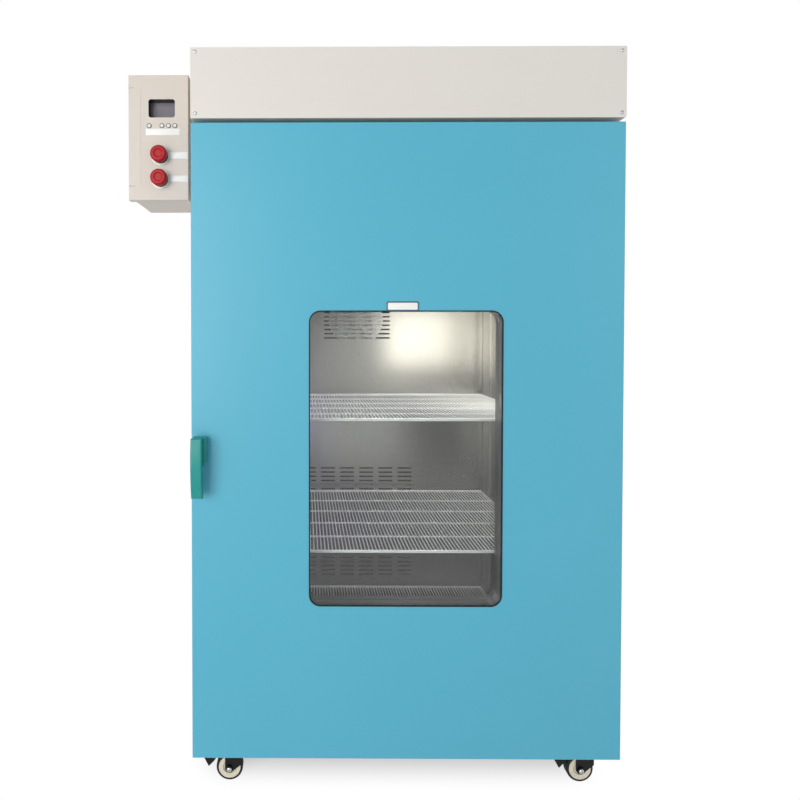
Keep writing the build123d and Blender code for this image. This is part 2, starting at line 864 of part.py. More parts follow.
# Cable gland at the back: threaded body in the panel, hexagon outside and a domed nut with an empty bore
with BuildPart() as cable_gland:
    with BuildSketch(front_plane(back_y)):
        with Locations((mid_x + gland_x, gland_z)):
            RegularPolygon(gland_radius, 6)
    extrude(amount=-gland_length / 4)
    rod_y(mid_x + gland_x, gland_z, (back_y - gland_length / 2, back_y), gland_radius - sheet)
    rod_y(mid_x + gland_x, gland_z, (back_y, back_y + gland_length), gland_radius - 2 * sheet)
    fillet(cable_gland.faces().sort_by(Axis.Y)[-1].edges(), radius=2 * sheet)
    rod_y(
        mid_x + gland_x,
        gland_z,
        (back_y - gland_length, back_y + 2 * gland_length),
        gland_bore,
        Mode.SUBTRACT,
    )
save(cable_gland.part, "cable_gland")

# Exhaust stub: a tube from the chamber through the roof, with a holed end plate, and a square flange welded
# round it at each sheet that it passes
stub_top = roof + vent_height
with BuildPart() as vent_stub:
    rod_z(stub_x, stub_y, (chamber_top + liner_sheet, stub_top), vent_radius)
    for flange_z in (chamber_top + liner_sheet, roof - 2 * sheet):
        around_stub(vent_flange, (flange_z, flange_z + sheet))
    rod_z(stub_x, stub_y, (chamber_top, stub_top - vent_wall), vent_radius - vent_wall, Mode.SUBTRACT)
    with Locations((stub_x, stub_y, stub_top)):
        with PolarLocations(vent_hole_circle, 4):
            Cylinder(vent_hole, 6 * vent_wall, mode=Mode.SUBTRACT)
    rod_z(stub_x, stub_y, (stub_top - vent_wall, stub_top + vent_cap_gap + vent_cap_thick), vent_pin / 2)
save(vent_stub.part, "vent_stub")

# Vent cap: a disc with the same holes and a knob, which turns on the stub's pin to shut them
cap_z = stub_top + vent_cap_gap
with BuildPart() as vent_cap:
    rod_z(stub_x, stub_y, (cap_z, cap_z + vent_cap_thick), vent_radius)
    with Locations((stub_x, stub_y, cap_z)):
        with PolarLocations(vent_hole_circle, 4):
            Cylinder(vent_hole, 6 * vent_wall, mode=Mode.SUBTRACT)
    rod_z(
        stub_x,
        stub_y,
        (cap_z + vent_cap_thick, cap_z + vent_cap_thick + vent_knob_height),
        vent_knob_radius,
    )
    fillet(vent_cap.faces().sort_by(Axis.Z)[-1].edges(), radius=vent_cap_thick)
    rod_z(
        stub_x,
        stub_y,
        (cap_z - past, cap_z + vent_cap_thick + vent_cap_gap),
        vent_pin / 2 + running_gap,
        Mode.SUBTRACT,
    )
save(vent_cap.part, "vent_cap")

# Control box: body, spacer to the cabinet, hinged cover, and what sits in the cover
box_left = mid_x - cabinet_width / 2 - box_gap - box_width
box_right = box_left + box_width
box_top = roof - box_drop
box_bottom = box_top - box_height
cover_y = door_y + box_set_back
cover_back = cover_y + cover_depth
body_y = cover_back + cover_gap
box_back = cover_y + box_depth
body_left = box_left + cover_overhang
with BuildPart() as box_spacer:
    spacer_z = (box_bottom + spacer_low, box_top - spacer_high)
    slab((box_right, box_right + box_gap), (body_y, box_back - spacer_inset), spacer_z)
    slab(
        (box_right + sheet, box_right + box_gap - sheet),
        (body_y + sheet, box_back),
        (spacer_z[0] - past, spacer_z[1] + past),
        Mode.SUBTRACT,
    )
save(box_spacer.part, "box_spacer")

hinge_pin_x = box_left + sheet + box_hinge_leaf + box_hinge_radius
hinge_pin_y = cover_back + box_hinge_radius + 2 * cover_gap
knuckle_low = box_bottom + box_hinge_low
knuckle_pitch = box_hinge_height / box_hinge_knuckles


def knuckle_span(index):
    """The height that one knuckle of the box hinge takes up."""
    return (knuckle_low + index * knuckle_pitch + knuckle_gap, knuckle_low + (index + 1) * knuckle_pitch)


with BuildPart() as control_box:
    slab((body_left, box_right), (body_y, box_back), (box_bottom, box_top))
    slab(
        (body_left + sheet, box_right - sheet),
        (body_y - past, box_back - sheet),
        (box_bottom + sheet, box_top - sheet),
        Mode.SUBTRACT,
    )
    slab(
        (hinge_pin_x, body_left),
        (hinge_pin_y + box_hinge_radius - box_hinge_leaf, hinge_pin_y + box_hinge_radius),
        (knuckle_low, knuckle_low + box_hinge_height),
    )
    slab(
        (body_left - box_hinge_leaf, body_left),
        (hinge_pin_y + box_hinge_radius - box_hinge_leaf, hinge_pin_y + 4 * box_hinge_radius),
        (knuckle_low, knuckle_low + box_hinge_height),
    )
    for index in range(1, box_hinge_knuckles, 2):
        low, high = knuckle_span(index)
        rod_z(
            hinge_pin_x,
            hinge_pin_y,
            (low - knuckle_gap, high + knuckle_gap),
            box_hinge_radius + knuckle_gap,
            Mode.SUBTRACT,
        )
    for index in range(0, box_hinge_knuckles, 2):
        rod_z(hinge_pin_x, hinge_pin_y, knuckle_span(index), box_hinge_radius)
    rod_z(hinge_pin_x, hinge_pin_y, (knuckle_low, knuckle_low + box_hinge_height), box_hinge_pin / 2)
save(control_box.part, "control_box")

with BuildPart() as control_cover:
    slab((box_left, box_right), (cover_y, cover_back), (box_bottom, box_top))
    fillet(control_cover.faces().sort_by(Axis.Y)[0].edges(), radius=edge_radius / 2)
    slab(
        (box_left + sheet, box_right - sheet),
        (cover_y + sheet, cover_back + past),
        (box_bottom + sheet, box_top - sheet),
        Mode.SUBTRACT,
    )
    for slit_z in (knuckle_low, knuckle_low + box_hinge_height):
        slab(
            (box_left - past, box_left + cover_slit_length),
            (cover_y - past, cover_y + 2 * sheet),
            (slit_z - cover_slit / 2, slit_z + cover_slit / 2),
            Mode.SUBTRACT,
        )
    slab(
        (box_left + cover_crease - cover_crease_width / 2, box_left + cover_crease + cover_crease_width / 2),
        (cover_y - past, cover_y + cover_crease_depth),
        (knuckle_low, knuckle_low + box_hinge_height),
        Mode.SUBTRACT,
    )
    with BuildSketch(front_plane(cover_y - past)):
        with Locations((box_left + display_x, box_bottom + display_z)):
            RectangleRounded(display_width, display_height, display_radius)
        for place in set_button_x:
            with Locations((box_left + place, box_bottom + set_button_z)):
                Circle(set_button_diameter / 2 + set_button_gap)
        for place in push_z:
            with Locations((box_left + push_x, box_bottom + place)):
                Circle(push_stem + push_stem_wall)
    extrude(amount=-3 * sheet, mode=Mode.SUBTRACT)
    for index in range(1, box_hinge_knuckles, 2):
        low, high = knuckle_span(index)
        rod_z(hinge_pin_x, hinge_pin_y, (low, high), box_hinge_radius)
        slab(
            (box_left + sheet, box_left + sheet + box_hinge_leaf),
            (cover_y + sheet, hinge_pin_y),
            (low, high),
        )
        slab(
            (box_left + sheet, hinge_pin_x),
            (hinge_pin_y - box_hinge_leaf, hinge_pin_y),
            (low, high),
        )
        rod_z(
            hinge_pin_x,
            hinge_pin_y,
            (low - past, high + past),
            box_hinge_pin / 2 + running_gap,
            Mode.SUBTRACT,
        )
save(control_cover.part, "control_cover")

display_left = box_left + display_x - display_width / 2
display_low = box_bottom + display_z - display_height / 2
display_back = cover_y + sheet + display_depth
with BuildPart() as display_housing:
    slab(
        (display_left - sheet, display_left + display_width + sheet),
        (cover_y + sheet, display_back + sheet),
        (display_low - sheet, display_low + display_height + sheet),
    )
    slab(
        (display_left, display_left + display_width),
        (cover_y, display_back),
        (display_low, display_low + display_height),
        Mode.SUBTRACT,
    )
save(display_housing.part, "display_housing")

with BuildPart() as display_pane:
    slab(
        (display_left, display_left + display_width),
        (display_back - display_glass, display_back),
        (display_low, display_low + display_height),
    )
save(display_pane.part, "display_pane")

for number, place in enumerate(set_button_x):
    button_x = box_left + place
    button_z = box_bottom + set_button_z
    with BuildPart() as set_button:
        rod_y(button_x, button_z, (cover_y - set_button_proud, cover_y + 4 * sheet), set_button_diameter / 2)
        fillet(set_button.faces().sort_by(Axis.Y)[0].edges(), radius=set_button_travel)
        rod_y(
            button_x,
            button_z,
            (cover_y + sheet + 2 * set_button_gap, cover_y + 4 * sheet),
            set_button_diameter / 2 + sheet,
        )
    save(set_button.part, "set_button_" + str(number + 1))

collars = []
for place in push_z:
    button_z = box_bottom + place
    with BuildPart() as collar:
        rod_y(box_left + push_x, button_z, (cover_y - push_collar_depth, cover_y), push_collar)
        fillet(collar.faces().sort_by(Axis.Y)[0].edges(), radius=edge_radius)
        rod_y(box_left + push_x, button_z, (cover_y, cover_y + 2 * sheet), push_stem + push_stem_wall)
        slab(
            (box_left + push_x - push_block / 2, box_left + push_x + push_block / 2),
            (cover_y + sheet, cover_y + sheet + push_block_depth),
            (button_z - push_block / 2, button_z + push_block / 2),
        )
        rod_y(
            box_left + push_x,
            button_z,
            (cover_y - 2 * push_collar_depth, cover_y + push_block_depth - 2 * sheet),
            push_stem + running_gap,
            Mode.SUBTRACT,
        )
    collars.append(collar.part)
save(Compound(children=collars), "button_collars")

for button_name, place in zip(("push_button_lower", "push_button_upper"), push_z):
    button_z = box_bottom + place
    head_back = cover_y - push_collar_depth - push_travel - running_gap
    head_front = head_back - push_head_depth
    with BuildPart() as push_button:
        with BuildSketch(Plane(origin=(box_left + push_x, 0, button_z), x_dir=(1, 0, 0), z_dir=(0, 0, 1))):
            with BuildLine():
                Polyline(
                    (0, head_front + push_dish_depth),
                    (push_dish - push_dish_depth, head_front + push_dish_depth),
                    (push_dish, head_front),
                    (push_head - 2 * push_dish_depth, head_front),
                )
                ThreePointArc(
                    (push_head - 2 * push_dish_depth, head_front),
                    (push_head - push_dish_depth / 2, head_front + push_dish_depth),
                    (push_head, head_front + 3 * push_dish_depth),
                )
                Polyline(
                    (push_head, head_front + 3 * push_dish_depth),
                    (push_head, head_back),
                    (push_stem, head_back),
                    (push_stem, cover_y + push_block_depth / 2),
                    (0, cover_y + push_block_depth / 2),
                    (0, head_front + push_dish_depth),
                )
            make_face()
        revolve(axis=Axis((box_left + push_x, 0, button_z), (0, 1, 0)))
    save(push_button.part, button_name)

# Contactor on its rail inside the control box
contactor_x = (body_left + box_right) / 2
contactor_z = box_bottom + box_height / 2
with BuildPart() as contactor:
    slab(
        (body_left + sheet, box_right - sheet),
        (box_back - sheet - rail_sheet, box_back - sheet),
        (contactor_z - rail_width / 2, contactor_z + rail_width / 2),
    )
    slab(
        (contactor_x - contactor_size[0] / 2, contactor_x + contactor_size[0] / 2),
        (box_back - sheet - rail_sheet - contactor_size[1], box_back - sheet - rail_sheet),
        (contactor_z - contactor_size[2] / 2, contactor_z + contactor_size[2] / 2),
    )
save(contactor.part, "contactor")

# Casters: top plates with the upper race, then fork, wheel and pedal for each
left_caster = mid_x - cabinet_width / 2 + caster_left_inset
right_caster = mid_x + cabinet_width / 2 - caster_right_inset
front_caster = face_y + caster_front_inset
rear_caster = back_y - caster_rear_inset
caster_places = {
    "front_left": (left_caster, front_caster),
    "front_right": (right_caster, front_caster),
    "rear_left": (left_caster, rear_caster),
    "rear_right": (right_caster, rear_caster),
}
plate_low = body_bottom - caster_plate_sheet
race_low = plate_low - race_height
fork_top = race_low - race_gap
bolt_pitch = caster_plate - 2 * caster_bolt_inset
plates = []
for x, y in caster_places.values():
    with BuildPart() as top_plate:
        slab(
            (x - caster_plate / 2, x + caster_plate / 2),
            (y - caster_plate / 2, y + caster_plate / 2),
            (plate_low, body_bottom),
        )
        with Locations((x, y, body_bottom)):
            with GridLocations(bolt_pitch, bolt_pitch, 2, 2):
                Cylinder(caster_bolt, 4 * caster_plate_sheet, mode=Mode.SUBTRACT)
        with Locations((x, y, (race_low + plate_low) / 2)):
            Cone(race_radius - caster_plate_sheet, race_radius, race_height)
        rod_z(x, y, (race_low - past, plate_low), kingpin / 2 + running_gap, Mode.SUBTRACT)
    plates.append(top_plate.part)
save(Compound(children=plates), "caster_plates")

for place, (x, y) in caster_places.items():
    wheel_x = x - caster_trail
    pedal_x = x - pedal_set_back
    pedal_z = fork_top - fork_head_height - pedal_pin
    with BuildPart() as fork:
        rod_z(x, y, (fork_top - fork_head_height, fork_top), fork_head)
        rod_z(x, y, (fork_top, plate_low - race_gap), kingpin / 2)
        for cheek_y in (y - fork_inside / 2 - fork_sheet, y + fork_inside / 2):
            cheek_left = wheel_x - fork_end_radius
            cheek_right = x + fork_head - 2 * fork_sheet
            cheek_z = fork_top - (fork_head_height + fork_drop) / 2
            with BuildSketch(front_plane(cheek_y)):
                with Locations((wheel_x, wheel_radius)):
                    Circle(fork_end_radius)
                with Locations(((cheek_left + cheek_right) / 2, cheek_z)):
                    Rectangle(cheek_right - cheek_left, fork_drop)
                make_hull()
            extrude(amount=-fork_sheet)
        half_axle = fork_inside / 2 + fork_sheet
        if place.startswith("front"):
            rod_y(pedal_x, pedal_z, (y - half_axle, y + half_axle), pedal_pin / 2)
        rod_y(wheel_x, wheel_radius, (y - half_axle, y + half_axle), axle_diameter / 2)
        for side in (-1, 1):
            head = sorted((y + side * half_axle, y + side * (half_axle + axle_head_height)))
            rod_y(wheel_x, wheel_radius, head, axle_head)
    save(fork.part, "caster_fork_" + place)

    with BuildPart() as hub:
        rod_y(wheel_x, wheel_radius, (y - wheel_width / 2, y + wheel_width / 2), hub_radius)
        for side in (-1, 1):
            dish = sorted((y + side * (wheel_width / 2 - hub_dish_depth), y + side * wheel_width))
            rod_y(wheel_x, wheel_radius, dish, hub_dish, Mode.SUBTRACT)
            boss = sorted((y + side * (wheel_width / 2 - 2 * hub_dish_depth), y + side * wheel_width / 2))
            rod_y(wheel_x, wheel_radius, boss, axle_diameter)
        rod_y(
            wheel_x,
            wheel_radius,
            (y - wheel_width, y + wheel_width),
            axle_diameter / 2 + running_gap,
            Mode.SUBTRACT,
        )

    with BuildPart() as tyre:
        rod_y(wheel_x, wheel_radius, (y - wheel_width / 2, y + wheel_width / 2), wheel_radius)
        fillet(tyre.edges().filter_by(GeomType.CIRCLE), radius=edge_radius)
        rod_y(wheel_x, wheel_radius, (y - wheel_width, y + wheel_width), hub_radius, Mode.SUBTRACT)

    if place.startswith("front"):
        save(hub.part, "caster_hub_" + place)
        save(tyre.part, "caster_tyre_" + place)
        with BuildPart() as pedal:
            with BuildSketch(front_plane(y - pedal_width / 2)):
                with BuildLine():
                    Polyline(
                        (pedal_x, pedal_z + pedal_plate),
                        (wheel_x - pedal_neck, pedal_z + pedal_plate),
                        *[(wheel_x + reach, wheel_radius + rise) for reach, rise in pedal_outline],
                        (wheel_x - pedal_neck, pedal_z),
                        (pedal_x, pedal_z),
                        close=True,
                    )
                make_face()
            extrude(amount=-pedal_width)
            rod_y(pedal_x, pedal_z, (y - pedal_width / 2, y + pedal_width / 2), pedal_eye)
            rod_y(
                pedal_x,
                pedal_z,
                (y - pedal_width, y + pedal_width),
                pedal_pin / 2 + running_gap,
                Mode.SUBTRACT,
            )
        save(pedal.part, "brake_pedal_" + place)
    else:
        save(Compound(children=[hub.part, tyre.part]), "caster_wheel_" + place)
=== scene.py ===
import bpy
from math import radians
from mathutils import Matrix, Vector


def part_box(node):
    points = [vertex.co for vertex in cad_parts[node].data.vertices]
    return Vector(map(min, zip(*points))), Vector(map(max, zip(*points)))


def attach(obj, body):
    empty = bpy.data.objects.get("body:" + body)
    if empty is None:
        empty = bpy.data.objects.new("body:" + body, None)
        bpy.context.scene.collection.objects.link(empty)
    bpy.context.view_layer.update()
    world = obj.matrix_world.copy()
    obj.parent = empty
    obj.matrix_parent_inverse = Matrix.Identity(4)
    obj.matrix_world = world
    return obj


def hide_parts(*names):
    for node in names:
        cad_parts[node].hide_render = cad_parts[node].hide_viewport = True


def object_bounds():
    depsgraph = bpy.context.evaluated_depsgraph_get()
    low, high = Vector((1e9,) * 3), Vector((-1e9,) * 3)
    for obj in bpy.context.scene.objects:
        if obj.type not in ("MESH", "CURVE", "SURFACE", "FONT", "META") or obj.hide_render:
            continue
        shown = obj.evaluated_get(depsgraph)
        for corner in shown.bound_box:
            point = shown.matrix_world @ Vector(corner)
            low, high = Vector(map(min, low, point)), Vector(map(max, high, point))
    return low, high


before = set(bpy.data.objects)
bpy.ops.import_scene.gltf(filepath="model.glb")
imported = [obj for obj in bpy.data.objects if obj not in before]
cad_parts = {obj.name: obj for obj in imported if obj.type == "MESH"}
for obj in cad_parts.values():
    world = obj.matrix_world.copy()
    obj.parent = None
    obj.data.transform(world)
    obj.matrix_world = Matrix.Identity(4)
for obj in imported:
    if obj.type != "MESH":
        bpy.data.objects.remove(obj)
cad_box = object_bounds()
oven_low, oven_high = cad_box

# Studio floor: one wide sheet of matt white paper. Round the casters it shows half of the oven's real
# shadow, and a hand's breadth past them it fades to clean white, as the paper in a product photograph does.
MM = 0.001
paper_size = 30
shadow_share = 0.5
shadow_fade = 140 * MM
shadow_middle = ((oven_low[0] + oven_high[0]) / 2 + 70 * MM, 70 * MM, 0)
shadow_half = (410 * MM, 280 * MM, 1)


def linear(code):
    """The linear colour of an sRGB hex value such as 5CB3CC."""
    parts = [int(code[at:at + 2], 16) / 255 for at in (0, 2, 4)]
    return [part / 12.92 if part <= 0.04045 else ((part + 0.055) / 1.055) ** 2.4 for part in parts] + [1.0]


def add_node(tree, kind, values=None, links=None, **settings):
    """One shader node with its settings, its input values, and the outputs that feed its inputs."""
    made = tree.nodes.new(kind)
    for name, value in settings.items():
        setattr(made, name, value)
    for name, value in (values or {}).items():
        made.inputs[name].default_value = value
    for name, output in (links or {}).items():
        tree.links.new(output, made.inputs[name])
    return made


def new_material(name):
    """An empty node material and its tree."""
    material = bpy.data.materials.new(name)
    material.use_nodes = True
    material.node_tree.nodes.clear()
    return material, material.node_tree


def seen_or_mirrored(tree):
    """1 where a ray comes from the camera, through glass or off a gloss, and 0 where it only gives light."""
    path = add_node(tree, "ShaderNodeLightPath")
    direct = add_node(
        tree,
        "ShaderNodeMath",
        {},
        {0: path.outputs["Is Camera Ray"], 1: path.outputs["Is Transmission Ray"]},
        operation="MAXIMUM",
    )
    any_way = add_node(
        tree,
        "ShaderNodeMath",
        {},
        {0: direct.outputs[0], 1: path.outputs["Is Glossy Ray"]},
        operation="MAXIMUM",
    )
    return any_way.outputs[0]


bpy.ops.object.select_all(action="DESELECT")
bpy.ops.mesh.primitive_plane_add(size=paper_size, location=(0, 0, 0))
floor = bpy.context.object
floor.name = "studio_floor"
floor_paper, tree = new_material("white_floor_paper")
place = add_node(tree, "ShaderNodeTexCoord")
offset = add_node(
    tree, "ShaderNodeVectorMath", {1: shadow_middle}, {0: place.outputs["Object"]}, operation="SUBTRACT"
)
aside = add_node(tree, "ShaderNodeVectorMath", {}, {0: offset.outputs["Vector"]}, operation="ABSOLUTE")
past_edge = add_node(
    tree, "ShaderNodeVectorMath", {1: shadow_half}, {0: aside.outputs["Vector"]}, operation="SUBTRACT"
)
outside = add_node(
    tree, "ShaderNodeVectorMath", {1: (0, 0, 0)}, {0: past_edge.outputs["Vector"]}, operation="MAXIMUM"
)
away = add_node(tree, "ShaderNodeVectorMath", {}, {0: outside.outputs["Vector"]}, operation="LENGTH")
fade = add_node(
    tree,
    "ShaderNodeMapRange",
    {"From Min": 0.0, "From Max": shadow_fade, "To Min": shadow_share, "To Max": 1.0},
    {"Value": away.outputs["Value"]},
    interpolation_type="SMOOTHSTEP",
)
clean_share = add_node(
    tree, "ShaderNodeMath", {}, {0: seen_or_mirrored(tree), 1: fade.outputs["Result"]}, operation="MULTIPLY"
)
matt = add_node(tree, "ShaderNodeBsdfDiffuse", {"Color": linear("E8E8E8")})
clean = add_node(tree, "ShaderNodeEmission", {"Color": linear("FFFFFF"), "Strength": 1.0})
paper = add_node(
    tree, "ShaderNodeMixShader", {}, {0: clean_share.outputs[0], 1: matt.outputs[0], 2: clean.outputs[0]}
)
add_node(tree, "ShaderNodeOutputMaterial", {}, {"Surface": paper.outputs[0]})
floor.data.materials.append(floor_paper)

# Surround: an even white cove on every side. Seen directly, through glass or in a gloss it is pure white,
# and as a light it is weaker, so that folds and edges keep their shade.
soft_strength = 0.42
world = bpy.data.worlds.new("studio_surround")
bpy.context.scene.world = world
world.use_nodes = True
tree = world.node_tree
tree.nodes.clear()
soft = add_node(tree, "ShaderNodeBackground", {"Color": linear("FFFFFF"), "Strength": soft_strength})
white = add_node(tree, "ShaderNodeBackground", {"Color": linear("FFFFFF"), "Strength": 1.0})
cove = add_node(
    tree, "ShaderNodeMixShader", {}, {0: seen_or_mirrored(tree), 1: soft.outputs[0], 2: white.outputs[0]}
)
add_node(tree, "ShaderNodeOutputWorld", {}, {"Surface": cove.outputs[0]})

# Studio lamps: a large soft box at the left front does most of the work, a weak one at the right opens the
# shadows, and one behind the oven lights its back. All of them look at the oven's middle.


def add_lamp(name, place, aim, size, power, colour):
    """A soft rectangular lamp at a place, turned towards the point that it is aimed at."""
    lamp_data = bpy.data.lights.new(name, "AREA")
    lamp_data.shape = "RECTANGLE"
    lamp_data.size, lamp_data.size_y = size
    lamp_data.energy = power
    lamp_data.color = linear(colour)[:3]
    lamp = bpy.data.objects.new(name, lamp_data)
    bpy.context.scene.collection.objects.link(lamp)
    lamp.location = place
    lamp.rotation_euler = (Vector(aim) - Vector(place)).to_track_quat("-Z", "Y").to_euler()
    lamp.visible_camera = False


oven_middle = (oven_low + oven_high) / 2
add_lamp("key_lamp", (-2.6, -4.5, 1.5), oven_middle, (2.8, 2.8), 150, "FFFEFB")
add_lamp("fill_lamp", (3.0, -2.6, 1.6), oven_middle, (2.2, 2.2), 14, "F8FBFF")
add_lamp("back_lamp", (-1.6, 4.6, 2.2), oven_middle, (2.6, 2.6), 90, "FFFFFF")

# Camera: it stands 1.38 m in front of the door, left of its middle and 1.13 m up, as the one that took the
# photograph did. Its place, tilt, turn, focal length and picture centre come from a fit to measured points.
door_low, door_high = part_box("door_skin")
door_front = door_low[1]
cabinet_x = (door_low[0] + door_high[0]) / 2
camera_left = 237.6 * MM
camera_back = 1379.2 * MM
camera_height = 1129.5 * MM
tilt_down = 1.006
turn_left = 0.413
sensor_width = 36
focal_pixels = 596.6
image_width = 800
centre_x = 300.0
centre_y = 338.5
camera_data = bpy.data.cameras.new("photo_camera")
camera_data.sensor_width = sensor_width
camera_data.lens = sensor_width * focal_pixels / image_width
camera_data.shift_x = (image_width / 2 - centre_x) / image_width
camera_data.shift_y = -(image_width / 2 - centre_y) / image_width
camera_data.clip_start = 50 * MM
camera = bpy.data.objects.new("photo_camera", camera_data)
bpy.context.scene.collection.objects.link(camera)
camera.location = (cabinet_x - camera_left, door_front - camera_back, oven_low[2] + camera_height)
camera.rotation_euler = (radians(90 - tilt_down), 0, radians(turn_left))
bpy.context.scene.camera = camera
bpy.context.scene.view_settings.view_transform = "Standard"

# Cabinet shell: outer wrap, back panel, motor cover, and the control box with its cover and spacer. They
# are folded from cold-rolled steel and powder coated warm beige. The powder bakes to a faint orange peel,
# which breaks the highlights up and gives the wide panels a satin sheen.


def mottled(tree, spread, code, shade, detail=3.0, distortion=0.0):
    """A cloudy pattern with patches of the spread in millimetres, and a colour that drifts with it."""
    place = add_node(tree, "ShaderNodeTexCoord")
    clouds = add_node(
        tree,
        "ShaderNodeTexNoise",
        {"Scale": 1 / (spread * MM), "Detail": detail, "Distortion": distortion},
        {"Vector": place.outputs["Object"]},
    )
    tone = add_node(
        tree,
        "ShaderNodeMix",
        {6: linear(code), 7: linear(shade)},
        {0: clouds.outputs["Fac"]},
        data_type="RGBA",
    )
    return clouds.outputs["Fac"], tone.outputs[2]


def close_material(tree, values, links):
    """Close a material's tree with one principled shader."""
    shader = add_node(tree, "ShaderNodeBsdfPrincipled", values, links)
    add_node(tree, "ShaderNodeOutputMaterial", {}, {"Surface": shader.outputs[0]})


def even_coat(name, code, shade, roughness, dimple, dimple_depth, gloss=0.5):
    """An opaque coat or skin: one colour that drifts a little from end to end, over fine dimples."""
    drift_spread = 455
    material, tree = new_material(name)
    drift, tone = mottled(tree, drift_spread, code, shade, detail=2.0)
    place = add_node(tree, "ShaderNodeTexCoord")
    dimples = add_node(
        tree,
        "ShaderNodeTexNoise",
        {"Scale": 1 / (dimple * MM), "Detail": 2.0},
        {"Vector": place.outputs["Object"]},
    )
    bump = add_node(
        tree,
        "ShaderNodeBump",
        {"Strength": 0.35, "Distance": dimple_depth * MM},
        {"Height": dimples.outputs["Fac"]},
    )
    haze = add_node(
        tree, "ShaderNodeMapRange", {"To Min": roughness - 0.04, "To Max": roughness + 0.05}, {"Value": drift}
    )
    close_material(
        tree,
        {"Metallic": 0.0, "IOR": 1.5, "Specular IOR Level": gloss},
        {"Base Color": tone, "Roughness": haze.outputs["Result"], "Normal": bump.outputs["Normal"]},
    )
    return material


def finish_nodes(material, *names):
    """Give CAD nodes their finish."""
    for name in names:
        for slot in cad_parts[name].material_slots:
            slot.material = material


beige_powder = even_coat("beige_powder_coat", "D3CBC3", "CCC3BA", 0.45, 4, 0.02)
finish_nodes(
    beige_powder, "outer_wrap", "back_panel", "motor_cover", "control_box", "box_spacer", "control_cover"
)

# Base frame: square steel tube, welded and coated with black stoving enamel. The enamel is even and dull,
# so the frame stays a plain dark line under the cabinet. The casters' forks and pedals get the same enamel
# below.
black_enamel = even_coat("black_stoving_enamel", "0A0A0B", "101011", 0.5, 3, 0.02, 0.2)
finish_nodes(black_enamel, "base_frame")

# Chamber: the front frame, air panel, shelf rack, door inner panel, exhaust stub, damper cap and probe are
# made of stainless steel, brushed upright. The brush draws a highlight out into fine streaks, drawn here
# coarser than the real ones so that they show.


def brushed_stainless(name, code, shade, roughness, duct_from=None):
    """Brushed stainless steel, with fine upright streaks over a slow drift of tone."""
    streak_width = 0.5
    streak_ratio = 60
    drift_spread = 333
    material, tree = new_material(name)
    tone = mottled(tree, drift_spread, code, shade, detail=2.0)[1]
    place = add_node(tree, "ShaderNodeTexCoord")
    squeezed = add_node(
        tree,
        "ShaderNodeMapping",
        {"Scale": (streak_ratio, streak_ratio, 1)},
        {"Vector": place.outputs["Object"]},
    )
    streaks = add_node(
        tree,
        "ShaderNodeTexNoise",
        {"Scale": 1 / (streak_width * streak_ratio * MM), "Detail": 3.0},
        {"Vector": squeezed.outputs["Vector"]},
    )
    haze = add_node(
        tree,
        "ShaderNodeMapRange",
        {"To Min": roughness - 0.06, "To Max": roughness + 0.08},
        {"Value": streaks.outputs["Fac"]},
    )
    bump = add_node(
        tree, "ShaderNodeBump", {"Strength": 0.2, "Distance": 0.01 * MM}, {"Height": streaks.outputs["Fac"]}
    )
    steel = add_node(
        tree,
        "ShaderNodeBsdfPrincipled",
        {"Metallic": 1.0},
        {"Base Color": tone, "Roughness": haze.outputs["Result"], "Normal": bump.outputs["Normal"]},
    )
    shader = steel.outputs[0]
    # Behind duct_from along Y the steel gives way to a dark matt colour: painted shade for the unlit duct.
    if duct_from is not None:
        depth = add_node(tree, "ShaderNodeSeparateXYZ", {}, {0: place.outputs["Object"]})
        in_duct = add_node(
            tree, "ShaderNodeMath", {1: duct_from}, {0: depth.outputs["Y"]}, operation="GREATER_THAN"
        )
        dark = add_node(tree, "ShaderNodeBsdfDiffuse", {"Color": linear("1A1714"), "Roughness": 0.9})
        darkened = add_node(
            tree, "ShaderNodeMixShader", {}, {0: in_duct.outputs[0], 1: shader, 2: dark.outputs[0]}
        )
        shader = darkened.outputs[0]
    add_node(tree, "ShaderNodeOutputMaterial", {}, {"Surface": shader})
    return material


bright_steel = brushed_stainless("brushed_stainless_304", "9A9790", "868481", 0.28)
finish_nodes(
    bright_steel, "front_frame", "air_panel", "shelf_rack", "door_inner", "vent_stub", "vent_cap",
    "temperature_probe",
)

# Window reveal: the folded stainless frame that lines the cut-out in the door. It stands in the door's
# shade, so the same steel is painted a little darker and bluer here: painted shade.
reveal_steel_painted_shade = brushed_stainless("brushed_stainless_painted_shade", "85888A", "75787B", 0.34)
finish_nodes(reveal_steel_painted_shade, "window_reveal")

# Chamber liner: a box of stainless sheet, folded and seam welded. Behind the air panel it is the wall of
# the duct, which gets no light. There it is painted dark as painted shade, so that the slots read as dark
# marks.
past_panel = 4 * MM
duct_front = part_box("air_panel")[0][1] + past_panel
duct_steel_painted_shade = brushed_stainless("stainless_with_painted_shade_in_the_duct", "9A9790", "868481", 0.28, duct_front)
finish_nodes(duct_steel_painted_shade, "chamber_liner")

